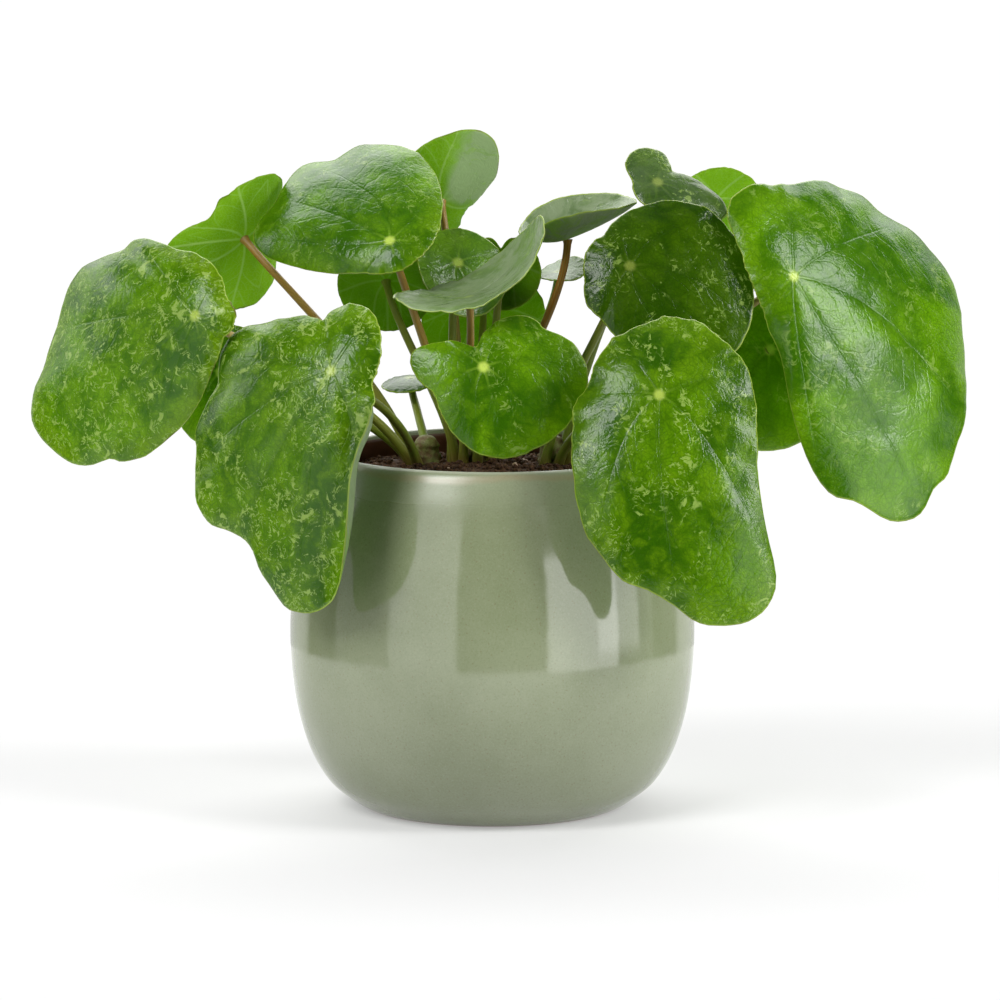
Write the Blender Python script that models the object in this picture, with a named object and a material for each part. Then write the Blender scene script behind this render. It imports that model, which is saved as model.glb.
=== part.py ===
"""Potted Chinese money plant (Pilea peperomioides, a speckled form) in a glazed pot.

Metres, +Z up, front toward -Y, origin at the centre of the pot's flat foot.
Each leaf is a blade on its own petiole; the petioles rise from three short crowns in the soil.
"""

import math
from collections import namedtuple

import bmesh
import bpy
import numpy as np
from mathutils import Vector

MM = 0.001
GAP = 0.3 * MM

# Pot: POT_OUTLINE holds (height, outer radius) in mm, from the flat foot to just below the rounded lip.
POT_HEIGHT = 124 * MM
POT_WALL = 4.5 * MM
POT_FLOOR = 7 * MM
POT_OUTLINE = (
    (0, 43), (3.5, 50), (10, 57.5), (22, 64), (40, 68.5), (64, 70), (90, 67), (110, 62), (121, 58.5),
)
POT_INSIDE_HEIGHTS = (116, 104, 84, 64, 44, 26, 14)
POT_COVE = 4 * MM  # rounding where the inside meets the floor
POT_SEGMENTS = 40

# Soil: its edge lies below the rim, and its middle is a little higher.
SOIL_EDGE_HEIGHT = 115.5 * MM
SOIL_CROWN_HEIGHT = 118 * MM
SOIL_RINGS = 5

# Crowns: short woody stems, placed by (x, y) in mm.
CROWNS = {"left": (-23, 18), "middle": (-7, 20), "right": (21, 17)}
CROWN_RADIUS = 4.5 * MM
CROWN_HEIGHT = 9 * MM
ROOT_RING = 7.2 * MM

# Blades and petioles.
BLADE_THICKNESS = 0.8 * MM
BLADE_GRIDS = {18: (24, 5), 12: (18, 4)}  # sectors and rings for an outline of so many radii
PETIOLE_RADIUS = 1.6 * MM
PETIOLE_TIP_RADIUS = 1.25 * MM
PETIOLE_STEPS = 7

# stalk: where the petiole meets the blade, in mm.
# face: the way the upper side looks, as azimuth (0 = front, 90 = right) and elevation,
#   then the turn of the tip from straight downhill, counter-clockwise seen from above.
# outline: margin radii in mm from the stalk, evenly spaced counter-clockwise from the tip.
# bend: how far the margin turns down, in degrees, at the tip, the one side, the back, the other side.
# root: the crown that the petiole starts beside, and its place around it in degrees (0 = right, 90 = back).
# dents: (angle, depth, half-width) of notches in the margin.
# curl: how much further the last stretch before the margin turns down, in degrees, in bend's order.
Leaf = namedtuple("Leaf", "name stalk face outline bend root dents curl", defaults=((), (0, 0, 0, 0)))


def disc(radius, offset, count=12):
    """A round outline whose stalk lies off its centre, away from the tip."""
    turns = [math.tau * i / count for i in range(count)]
    return tuple(offset * math.cos(a) + math.sqrt(radius**2 - (offset * math.sin(a)) ** 2) for a in turns)


LEAVES = (
    Leaf(
        "left", (-101, -22, 173), (-26, 20, -42),
        (73, 52, 35, 22, 16, 13, 14, 14, 13, 13, 16, 20, 26, 34, 61, 68, 74, 85),
        (35, 25, 35, 35), ("left", 205), ((6, 4, 4), (281, 10, 9)),
    ),
    Leaf(
        "front_left", (-54, -54, 158), (-20, 24, -8),
        (84, 65, 27, 19, 15, 15, 17, 20, 24, 28, 27, 27, 34, 49, 50, 61, 71, 69),
        (40, 25, 30, 35), ("left", 240), ((30, 10, 8), (210, 5, 9)),
    ),
    Leaf(
        "upper_left", (-35, -8, 197), (-14, 44, -120),
        (59, 57, 34, 21, 15, 13, 12, 12, 12, 12, 13, 15, 18, 23, 33, 48, 59, 66),
        (30, 35, 25, 25), ("middle", 210), ((334, 7, 7),),
    ),
    Leaf(
        "front_centre", (-3, -44, 158), (6, 26, 14),
        (32, 33, 35, 37, 38, 34, 29, 22, 14, 8, 12, 18, 25, 23, 19, 21, 25, 29),
        (30, 30, 20, 25), ("middle", 285), ((111, 3, 9),),
    ),
    Leaf(
        "front_right", (56, -62, 151), (6, 20, 12),
        (81, 79, 46, 38, 36, 35, 33, 33, 30, 27, 26, 25, 25, 29, 33, 41, 54, 67),
        (32, 35, 30, 40), ("right", 290), ((29, 8, 7), (349, 5, 8)),
    ),
    Leaf(
        "right", (103, -10, 185), (28, 22, 30),
        (98, 92, 86, 82, 69, 56, 45, 37, 36, 33, 22, 17, 15, 15, 16, 21, 32, 82),
        (30, 35, 25, 45), ("right", 325), ((345, 7, 6), (6, 4, 4), (87, 4, 8)),
    ),
    Leaf(
        "right_round", (47, -14, 189), (6, 28, 50),
        (47, 47, 45, 43, 40, 33, 25, 20, 16, 16, 16, 16, 17, 20, 21, 26, 34, 42),
        (30, 30, 25, 25), ("right", 250),
    ),
    Leaf(
        "back_left", (-87, 38, 193), (-158, 15, 88),
        (30, 18, 20, 23, 25, 24, 22, 22, 24, 25, 27, 31),
        (10, 15, -80, 15), ("left", 140),
    ),
    Leaf("left_inner", (-94, 14, 149), (-30, 15, 0), disc(22, 5), (20, 20, 20, 20), ("left", 172)),
    Leaf(
        "top_upright", (-18, 40, 206), (-172, 10, -150),
        (29, 24, 18, 15, 16, 14, 10, 10, 13, 18, 20, 24),
        (5, -70, 10, -5), ("middle", 112),
    ),
    Leaf(
        "young_boat", (-8, -19, 179), (-75, 79, 170),
        (40, 38, 31, 25, 23, 24, 26, 25, 23, 24, 30, 37),
        (-75, -15, -25, 0), ("middle", 245),
    ),
    Leaf("centre_small", (-12, 14, 187), (15, 30, 20), disc(17, 3), (15, 15, 15, -30), ("middle", 178)),
    Leaf(
        "centre_back", (3, 32, 185), (180, 15, 0), disc(14, 3),
        (15, 15, 15, 15), ("middle", 50), ((180, 5, 14),),
    ),
    Leaf("left_back", (-37, 30, 179), (170, 15, 0), disc(17, 1), (15, 15, 15, 15), ("middle", 145)),
    Leaf("back_bright", (-3, 46, 168), (180, 15, 0), disc(22, 4), (15, 15, 15, 15), ("middle", 81)),
    Leaf(
        "cupped", (26, 22, 195), (-90, 70, 180),
        (27, 27, 25, 24, 22, 19, 17, 17, 19, 21, 23, 25),
        (-15, -65, -50, -55), ("middle", 345),
    ),
    Leaf(
        "lobed", (57, 14, 215), (15, 45, 70),
        (27, 16, 9, 15, 17, 14, 9, 9, 10, 11, 14, 20),
        (25, 10, 20, 20), ("right", 60),
    ),
    Leaf("back_right", (79, 58, 205), (190, 20, 0), disc(17, 4), (15, 15, 15, 15), ("right", 30)),
    Leaf("right_inner", (96, 12, 157), (5, 15, -5), disc(27, 8), (20, 20, 20, 20), ("right", 0)),
    Leaf("small_back", (23, 40, 181), (-40, 75, 180), disc(10, 1), (-20, 15, -10, 15), ("middle", 18)),
    Leaf("low_back", (-29, 44, 143), (-20, 80, 0), disc(9, 3), (15, 15, 15, 15), ("left", 90)),
)


def clear_scene():
    for old in list(bpy.data.objects):
        bpy.data.objects.remove(old, do_unlink=True)


def material(name, colour, roughness):
    made = bpy.data.materials.new(name)
    made.use_nodes = True
    shader = made.node_tree.nodes["Principled BSDF"]
    shader.inputs["Base Color"].default_value = (*colour, 1)
    shader.inputs["Roughness"].default_value = roughness
    made.diffuse_color = (*colour, 1)
    return made


def place(obj, surface):
    bpy.context.scene.collection.objects.link(obj)
    obj.data.materials.append(surface)
    return obj


def mesh_object(name, points, faces, surface):
    """A smooth-shaded mesh object with its normals facing out."""
    mesh = bpy.data.meshes.new(name)
    mesh.from_pydata([tuple(p) for p in points], [], faces)
    shell = bmesh.new()
    shell.from_mesh(mesh)
    bmesh.ops.recalc_face_normals(shell, faces=shell.faces)
    shell.to_mesh(mesh)
    shell.free()
    mesh.shade_smooth()
    mesh.set_sharp_from_angle(angle=math.radians(50))
    return place(bpy.data.objects.new(name, mesh), surface)


def around(values, turn):
    """The value at each turn (0 to 1) on a smooth closed curve through evenly spaced values."""
    values = np.asarray(values, float)
    count = len(values)
    at = (np.asarray(turn, float) % 1) * count
    i = np.floor(at).astype(int)
    f = at - i
    before, here, after, beyond = (values[(i + k) % count] for k in (-1, 0, 1, 2))
    return here + 0.5 * f * (
        (after - before)
        + f * (2 * before - 5 * here + 4 * after - beyond)
        + f**2 * (3 * here - before - 3 * after + beyond)
    )


def turned(name, profile, segments, surface):
    """A solid of revolution from (radius, height) points that start and end on the axis."""
    points = [(0, 0, profile[0][1])]
    for radius, height in profile[1:-1]:
        for k in range(segments):
            angle = math.tau * k / segments
            points.append((radius * math.cos(angle), radius * math.sin(angle), height))
    points.append((0, 0, profile[-1][1]))
    last = len(points) - 1
    faces = []
    for k in range(segments):
        after = (k + 1) % segments
        faces.append((0, 1 + after, 1 + k))
        for ring in range(len(profile) - 3):
            low = 1 + ring * segments
            high = low + segments
            faces.append((low + k, low + after, high + after, high + k))
        top = last - segments
        faces.append((last, top + k, top + after))
    return mesh_object(name, points, faces, surface)


def outer_wall():
    """Pot wall from the foot to the lip, as (radius, height)."""
    return [(radius * MM, height * MM) for height, radius in POT_OUTLINE]


def inner_radius(height):
    radii, heights = zip(*outer_wall())
    return float(np.interp(height, heights, radii)) - POT_WALL


def pot():
    wall = outer_wall()
    lip = wall[-1][0]
    rim = [
        (lip - 0.4 * MM, POT_HEIGHT - 1 * MM),
        (lip - 1.6 * MM, POT_HEIGHT),
        (lip - 3.2 * MM, POT_HEIGHT),
        (lip - POT_WALL, POT_HEIGHT - 1.2 * MM),
    ]
    inside = [(inner_radius(height * MM), height * MM) for height in POT_INSIDE_HEIGHTS]
    floor = [(inner_radius(POT_FLOOR) - POT_COVE, POT_FLOOR), (0, POT_FLOOR)]
    surface = material("pot_glaze", (0.29, 0.33, 0.24), 0.2)
    turned("pot", [(0, 0), *wall, *rim, *inside, *floor], POT_SEGMENTS, surface)


def soil_height(radius):
    edge = inner_radius(SOIL_EDGE_HEIGHT)
    return SOIL_CROWN_HEIGHT - (SOIL_CROWN_HEIGHT - SOIL_EDGE_HEIGHT) * (radius / edge) ** 2


def soil():
    edge = inner_radius(SOIL_EDGE_HEIGHT) - GAP
    heights = reversed(POT_INSIDE_HEIGHTS[1:])
    side = [(inner_radius(height * MM) - GAP, height * MM) for height in heights]
    foot = [(0, POT_FLOOR + GAP), (inner_radius(POT_FLOOR) - POT_COVE - GAP, POT_FLOOR + GAP)]
    top = [(edge * k / SOIL_RINGS, soil_height(edge * k / SOIL_RINGS)) for k in range(SOIL_RINGS, 0, -1)]
    surface = material("potting_mix", (0.05, 0.03, 0.022), 0.85)
    turned("soil", [*foot, *side, *top, (0, SOIL_CROWN_HEIGHT)], POT_SEGMENTS, surface)


def crown(name, x, y, surface):
    """A short stem that stands on the soil and narrows to a rounded top."""
    shape = ((1.15, 0), (1.1, 0.2), (1, 0.5), (0.85, 0.8), (0.5, 1))
    profile = [(0, 0), *((CROWN_RADIUS * r, CROWN_HEIGHT * h) for r, h in shape), (0, CROWN_HEIGHT)]
    made = turned(name, profile, 12, surface)
    made.location = (x, y, soil_height(math.hypot(x, y)) + GAP)


def leaf_axes(face):
    """The blade's upper normal, the way its tip points, and the way square to both."""
    azimuth, elevation, turn = (math.radians(angle) for angle in face)
    facing = np.array([math.sin(azimuth), -math.cos(azimuth), 0])
    up = np.array([0, 0, 1.0])
    normal = math.cos(elevation) * facing + math.sin(elevation) * up
    downhill = math.sin(elevation) * facing - math.cos(elevation) * up
    tip = math.cos(turn) * downhill + math.sin(turn) * np.cross(normal, downhill)
    return normal, tip, np.cross(normal, tip)


def margin(leaf, turn):
    """Distance from the stalk to the margin along the blade, at each turn (0 to 1)."""
    radius = around(leaf.outline, turn)
    for angle, depth, width in leaf.dents:
        off = (np.asarray(turn) * 360 - angle + 180) % 360 - 180
        radius = radius - depth * np.exp(-((off / width) ** 2))
    return radius * MM


def blade_points(leaf, sectors, rings):
    """The stalk point, then ring by ring outward: each ray from the stalk bends down by its own angle."""
    normal, tip, side = leaf_axes(leaf.face)
    turn = np.arange(sectors) / sectors
    bend = np.radians(around(leaf.bend, turn))
    curl = np.radians(around(leaf.curl, turn))
    steps = 8  # of the sum along each ray, between one ring and the next
    fraction = (np.arange(rings * steps) + 0.5) / (rings * steps)
    slope = np.outer(fraction, bend) + np.outer(fraction**4, curl)
    length = margin(leaf, turn) / (rings * steps)
    out = (np.cumsum(np.cos(slope), axis=0) * length)[steps - 1 :: steps]
    down = (np.cumsum(np.sin(slope), axis=0) * length)[steps - 1 :: steps]
    ray = np.outer(np.cos(math.tau * turn), tip) + np.outer(np.sin(math.tau * turn), side)
    grid = out[:, :, None] * ray[None] - down[:, :, None] * normal
    stalk = np.array(leaf.stalk) * MM
    return np.vstack([stalk, stalk + grid.reshape(-1, 3)])


def blade(leaf, surface):
    sectors, rings = BLADE_GRIDS[len(leaf.outline)]
    points = blade_points(leaf, sectors, rings)
    faces = []
    for k in range(sectors):
        after = (k + 1) % sectors
        faces.append((0, 1 + k, 1 + after))
        for ring in range(rings - 1):
            inner = 1 + ring * sectors
            outer = inner + sectors
            faces.append((inner + k, outer + k, outer + after, inner + after))
    mesh = bpy.data.meshes.new(f"{leaf.name}_leaf")
    mesh.from_pydata([tuple(p) for p in points], [], faces)
    mesh.shade_smooth()
    made = place(bpy.data.objects.new(f"{leaf.name}_leaf", mesh), surface)
    solid = made.modifiers.new("Thickness", "SOLIDIFY")
    solid.thickness = BLADE_THICKNESS
    solid.offset = 0


def root_point(leaf):
    """Where the petiole starts, on the soil beside its crown."""
    crown_name, angle = leaf.root
    x, y = (value * MM for value in CROWNS[crown_name])
    x += ROOT_RING * math.cos(math.radians(angle))
    y += ROOT_RING * math.sin(math.radians(angle))
    return Vector((x, y, soil_height(math.hypot(x, y)) + PETIOLE_RADIUS))


def petiole(leaf, surface):
    """A tapered round stalk that leaves the soil toward its leaf and meets the blade from below."""
    normal = Vector(leaf_axes(leaf.face)[0])
    foot = root_point(leaf)
    stalk = Vector(leaf.stalk) * MM
    span = stalk - foot
    leave = (span.normalized() * 0.7 + Vector((0, 0, 0.5))).normalized()
    arrive = (span.normalized() * 0.6 + normal * 0.5).normalized()
    lean = math.sqrt(1 - arrive.dot(normal) ** 2)
    head = stalk - normal * (BLADE_THICKNESS / 2 + GAP + PETIOLE_TIP_RADIUS * lean)
    curve = bpy.data.curves.new(f"{leaf.name}_petiole", "CURVE")
    curve.dimensions = "3D"
    curve.bevel_depth = PETIOLE_RADIUS
    curve.bevel_resolution = 1
    curve.use_fill_caps = True
    curve.resolution_u = PETIOLE_STEPS
    spline = curve.splines.new("BEZIER")
    spline.bezier_points.add(1)
    for point, at, handle, scale in (
        (spline.bezier_points[0], foot, leave * span.length * 0.33, 1),
        (spline.bezier_points[1], head, arrive * span.length * 0.3, PETIOLE_TIP_RADIUS / PETIOLE_RADIUS),
    ):
        point.co = at
        point.handle_left = at - handle
        point.handle_right = at + handle
        point.radius = scale
    place(bpy.data.objects.new(f"{leaf.name}_petiole", curve), surface)


def main():
    clear_scene()
    pot()
    soil()
    bark = material("crown_bark", (0.16, 0.17, 0.05), 0.6)
    green = material("leaf_green", (0.05, 0.16, 0.01), 0.3)
    stalk_green = material("petiole_green", (0.19, 0.17, 0.03), 0.5)
    for name, (x, y) in CROWNS.items():
        crown(f"{name}_crown", x * MM, y * MM, bark)
    for leaf in LEAVES:
        blade(leaf, green)
        petiole(leaf, stalk_green)


main()
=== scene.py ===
"""Looks for a potted speckled pilea: fine blades, petioles, crowns, potting mix and glazed pot around the CAD frame."""

import math
from collections import namedtuple

import bmesh
import bpy
import numpy as np
from mathutils import Matrix, Vector, noise


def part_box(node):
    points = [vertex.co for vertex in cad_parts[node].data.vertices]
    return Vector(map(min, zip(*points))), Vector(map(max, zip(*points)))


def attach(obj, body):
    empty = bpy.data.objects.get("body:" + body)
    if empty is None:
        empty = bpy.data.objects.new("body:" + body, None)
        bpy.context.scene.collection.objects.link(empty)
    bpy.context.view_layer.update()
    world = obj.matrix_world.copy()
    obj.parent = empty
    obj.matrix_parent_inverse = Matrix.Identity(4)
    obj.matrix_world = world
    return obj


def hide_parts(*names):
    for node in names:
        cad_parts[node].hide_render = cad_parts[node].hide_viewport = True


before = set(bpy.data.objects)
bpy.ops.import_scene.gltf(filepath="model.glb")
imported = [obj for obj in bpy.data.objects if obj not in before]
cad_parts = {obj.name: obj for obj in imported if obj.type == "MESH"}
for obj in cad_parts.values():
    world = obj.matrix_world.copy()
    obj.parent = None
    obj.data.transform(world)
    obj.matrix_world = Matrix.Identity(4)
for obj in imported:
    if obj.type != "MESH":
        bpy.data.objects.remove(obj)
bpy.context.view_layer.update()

MM = 0.001

# A leaf's place comes from the CAD box of its blade. Lengths are in mm and angles in degrees, and an angle around the
# blade runs counter-clockwise from its tip.
# face: the way the upper side looks, as azimuth (0 = front, 90 = right) and elevation, then the turn of the tip from
#   straight downhill.
# outline: margin radii from the stalk, evenly spaced from the tip.
# bend: how far the margin turns down, at the tip, the one side, the back and the other side.
# root: the crown that the petiole starts beside, and its place around it (0 = right, 90 = back).
# habit: speckles, yellowness of the margin and painted sheen (a pale film laid on as a highlight), 0 to 1 each and
#   the sheen above 1 where it is thick, then how light the green is (1 is the usual green), which is partly painted
#   light and shade: low on leaves that lie in shade, high on backlit under sides.
# stalk: the petiole's tint.
# dents: (angle, depth, width) of notches in the margin, which the CAD blade has too.
# veins: the leaf's own main veins, in the form of VEINS.
# curl: (angle, width, degrees, power) of stretches that turn up near the margin.
# push: (angle, width, mm) of stretches that bulge toward the front.
# lean: how far the blade tips down and sideways, by a shear that keeps its outline seen from the front.
# nicks: as dents, for the fine blade only. A negative depth is a bulge.
# painted sheen: (angle, width, "both" or "under"), the stretch and the sides that the painted sheen is kept to.
Leaf = namedtuple(
    "Leaf",
    "name face outline bend root habit stalk dents veins curl push lean nicks bloom",
    defaults=((), None, (), (), (0, 0), (), ()),
)

# The usual main veins: (angle at the stalk, angle near the margin).
VEINS = ((-150, -140), (-100, -78), (-52, -18), (0, 0), (52, 18), (100, 78), (150, 140))


def disc(radius, offset, count=12):
    """A round outline whose stalk lies off its centre, away from the tip."""
    turns = [math.tau * i / count for i in range(count)]
    return tuple(offset * math.cos(a) + math.sqrt(radius**2 - (offset * math.sin(a)) ** 2) for a in turns)


LEAVES = (
    Leaf(
        "left", (-26, 20, -42),
        (73, 52, 35, 22, 16, 13, 14, 14, 13, 13, 16, 20, 26, 34, 61, 68, 74, 85),
        (35, 25, 35, 35), ("left", 205), (1.0, 0.5, 0.0, 1.0), "tan", ((6, 4, 4), (281, 10, 9)),
        ((-150, -150), (-88, -88), (-50, -44), (-4, -4), (26, 24), (64, 60), (125, 120)),
        lean=(-4, 0), nicks=((315, 2.2, 12), (285, 2.0, 8), (20, -1.2, 5), (335, -1.0, 4)),
    ),
    Leaf(
        "front_left", (-20, 24, -8),
        (84, 65, 27, 19, 15, 15, 17, 20, 24, 28, 27, 27, 34, 49, 50, 61, 71, 69),
        (40, 25, 30, 35), ("left", 240), (0.8, 0.2, 1.6, 0.9), "green", ((30, 10, 8), (210, 5, 9)),
        ((-150, -150), (-98, -90), (-62, -52), (-26, -22), (2, 0), (48, 30), (110, 105), (165, 165)),
        ((42, 27, 170, 5.5),), nicks=((42, -9, 24), (325, -1.0, 4), (305, 0.8, 4)),
        bloom=(42, 28, "under"),
    ),
    Leaf(
        "upper_left", (-14, 44, -120),
        (59, 57, 34, 21, 15, 13, 12, 12, 12, 12, 13, 15, 18, 23, 33, 48, 59, 66),
        (30, 35, 25, 25), ("middle", 210), (0.35, 0.2, 0.0, 1.1), "brown", ((334, 7, 7),),
    ),
    Leaf(
        "front_centre", (6, 26, 14),
        (32, 33, 35, 37, 38, 34, 29, 22, 14, 8, 12, 18, 25, 23, 19, 21, 25, 29),
        (30, 30, 20, 25), ("middle", 285), (0.3, 0.1, 0.0, 1.12), "green", ((111, 3, 9),), push=((80, 60, 6),),
    ),
    Leaf(
        "front_right", (6, 20, 12),
        (81, 79, 46, 38, 36, 35, 33, 33, 30, 27, 26, 25, 25, 29, 33, 41, 54, 67),
        (32, 35, 30, 40), ("right", 290), (0.6, 0.2, 0.0, 0.84), "green", ((29, 8, 7), (349, 5, 8)),
        ((-160, -160), (-115, -105), (-76, -36), (-20, -8), (52, 22), (100, 95), (150, 150)),
        push=((85, 60, 6), (-50, 35, 4)), lean=(9, 0),
    ),
    Leaf(
        "right", (28, 22, 30),
        (98, 92, 86, 82, 69, 56, 45, 37, 36, 33, 22, 17, 15, 15, 16, 21, 32, 82),
        (30, 35, 25, 45), ("right", 325), (0.2, 0.15, 0.0, 1.12), "tan", ((345, 7, 6), (6, 4, 4), (87, 4, 8)),
        ((-150, -145), (-90, -80), (-45, -25), (-6, 0), (52, 26), (95, 80), (140, 135)),
        push=((0, 40, 12),),
    ),
    Leaf(
        "right_round", (6, 28, 50),
        (47, 47, 45, 43, 40, 33, 25, 20, 16, 16, 16, 16, 17, 20, 21, 26, 34, 42),
        (30, 30, 25, 25), ("right", 250), (0.35, 0.0, 0.0, 0.36), "green", push=((45, 60, 8),),
    ),
    Leaf(
        "back_left", (-158, 15, 88), (30, 18, 20, 23, 25, 24, 22, 22, 24, 25, 27, 31),
        (10, 15, -80, 15), ("left", 140), (0.2, 0.6, 0.0, 2.25), "brown",
    ),
    Leaf("left_inner", (-30, 15, 0), disc(22, 5), (20, 20, 20, 20), ("left", 172), (0.3, 0.4, 0.0, 1.3), "green"),
    Leaf(
        "top_upright", (-172, 10, -150), (29, 24, 18, 15, 16, 14, 10, 10, 13, 18, 20, 24),
        (5, -70, 10, -5), ("middle", 112), (0.2, 0.6, 1.7, 1.8), "brown", bloom=(30, 42, "both"),
    ),
    Leaf(
        "young_boat", (-75, 79, 170), (40, 38, 31, 25, 23, 24, 26, 25, 23, 24, 30, 37),
        (-75, -15, -25, 0), ("middle", 245), (0.5, 0.2, 0.9, 0.8), "brown",
    ),
    Leaf("centre_small", (15, 30, 20), disc(17, 3), (15, 15, 15, -30), ("middle", 178), (0.3, 0.2, 0.1, 1.2), "green"),
    Leaf(
        "centre_back", (180, 15, 0), disc(14, 3), (15, 15, 15, 15), ("middle", 50), (0.1, 0.3, 0.0, 0.8), "green",
        ((180, 5, 14),),
    ),
    Leaf("left_back", (170, 15, 0), disc(17, 1), (15, 15, 15, 15), ("middle", 145), (0.2, 0.3, 0.0, 1.3), "green"),
    Leaf("back_bright", (180, 15, 0), disc(22, 4), (15, 15, 15, 15), ("middle", 81), (0.3, 0.7, 0.0, 2.1), "green"),
    Leaf(
        "cupped", (-90, 70, 180), (27, 27, 25, 24, 22, 19, 17, 17, 19, 21, 23, 25),
        (-15, -65, -50, -55), ("middle", 345), (0.5, 0.1, 1.0, 0.8), "red",
    ),
    Leaf(
        "lobed", (15, 45, 70), (27, 16, 9, 15, 17, 14, 9, 9, 10, 11, 14, 20),
        (25, 10, 20, 20), ("right", 60), (0.5, 0.1, 0.2, 0.45), "green",
    ),
    Leaf("back_right", (190, 20, 0), disc(17, 4), (15, 15, 15, 15), ("right", 30), (0.2, 0.7, 0.0, 2.7), "green"),
    Leaf("right_inner", (5, 15, -5), disc(27, 8), (20, 20, 20, 20), ("right", 0), (0.3, 0.5, 0.0, 1.25), "green"),
    Leaf("small_back", (-40, 75, 180), disc(10, 1), (-20, 15, -10, 15), ("middle", 18), (0.3, 0.1, 0.6, 0.9), "pale"),
    Leaf("low_back", (-20, 80, 0), disc(9, 3), (15, 15, 15, 15), ("left", 90), (0.2, 0.2, 0.0, 0.7), "green"),
)

# The CAD grids (sectors, rings) and the fine ones, by the number of radii in the outline.
CAD_GRIDS = {18: (24, 5), 12: (18, 4)}
FINE_GRIDS = {18: (180, 48), 12: (108, 30)}
BLADE_THICKNESS = 0.8 * MM
RIM_WIDTH = 0.25 * MM
# Relief of a large blade in mm: the sunken main veins and their width, puckers and wrinkles and the length that they
# repeat over, the scallops of the margin and its wave.
VEIN_SINK, VEIN_WIDTH = 0.20, 1.4
PUCKER, PUCKER_LENGTH = 0.7, 17
WRINKLE, WRINKLE_LENGTH = 0.10, 4.5
SCALLOP, WAVE = 0.6, 1.3
LARGE_RADIUS = 45  # mean radius of a large blade, in mm

# The photo's view, from a little above the front: the ways toward the viewer, up and to the right in it.
VIEW_TILT = math.radians(8.5)
FRONT = np.array([0, -math.cos(VIEW_TILT), math.sin(VIEW_TILT)])
RISE = np.array([0, math.sin(VIEW_TILT), math.cos(VIEW_TILT)])
ASIDE = np.array([1.0, 0, 0])
VIEW_CENTRE = Vector((2.66, 0, 106.3)) * MM
VIEW_DISTANCE = 2.2
LENS, SENSOR_WIDTH = 229.1, 36

PETIOLE_RADIUS = 1.6 * MM
PETIOLE_TIP_RADIUS = 1.25 * MM
PETIOLE_FOOT_FLARE = 0.45 * MM
PETIOLE_TIP_FLARE = 0.55 * MM
PETIOLE_SIDES, PETIOLE_STEPS = 14, 44
ROOT_RING = 7.2 * MM
GAP = 0.3 * MM

# (height, radius) in mm up the outside, over the rounded lip and down the inside.
POT_OUTSIDE = (
    (0, 43), (0.6, 45.2), (3.5, 50), (10, 57.5), (22, 64), (40, 68.5), (64, 70), (90, 67), (110, 62), (119, 59.2),
)
POT_LIP = ((121.6, 58.2), (123.2, 57.1), (124, 55.8), (123.8, 54.8), (122.6, 54.2), (120, 54.4))
POT_INSIDE = ((110, 57.5), (90, 62.5), (64, 65.5), (40, 64), (22, 59.5), (10, 53), (7, 46), (7, 20), (7, 0))
POT_SEGMENTS = 240

SOIL_HEIGHT = 116  # in mm, where its edge meets the pot's wall
SOIL_DOME = 2.5 * MM  # how much lower the edge is than the middle
SOIL_DEPTH = 8 * MM
SOIL_RINGS, SOIL_SECTORS = 60, 200
SOIL_LUMP, SOIL_SWELL = 0.004, 0.018  # the lengths that its lumps and swells repeat over, in metres
# (how many, smallest and largest in mm, material index, how flat) of the loose bits on the soil.
SOIL_BITS = ((1500, 0.7, 3.4, 0, 1.0), (200, 1.0, 3.0, 0, 0.35), (34, 1.0, 3.6, 1, 1.0))

CROWN_SEGMENTS = 40
CROWN_SCAR, CROWN_KNOB = 0.0024, 0.0016  # the lengths that its leaf scars and knobs repeat over, in metres
# (radius, height) up a crown, as shares of its radius and of its height.
CROWN_SHAPE = ((1.15, -0.3), (1.12, 0.0), (1.08, 0.2), (1.0, 0.45), (0.88, 0.7), (0.62, 0.9), (0.25, 0.98))

FLOOR_RADIUS = 0.33
FLOOR_DROP = 0.02 * MM  # below the pot's foot, so that the two don't flicker
# Light panels: (azimuth from, to), (elevation from, to) in degrees, radiance.
PANELS = (
    ((-61, -20), (-30, 25), 1.15), ((-100, -61), (-30, 30), 0.35), ((-56, -26), (30, 60), 11.0),
    ((32, 76), (-30, 17), 2.3), ((76, 104), (-30, 12), 0.35), ((58, 82), (18, 46), 12.0), ((62, 92), (-8, 18), 1.3),
    ((-130, -100), (5, 20), 1.5), ((-130, -100), (20, 34), 3.5),
)
BACKDROP = 1.02  # radiance that the camera sees behind the plant


# ---------------------------------------------------------------- node trees


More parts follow.
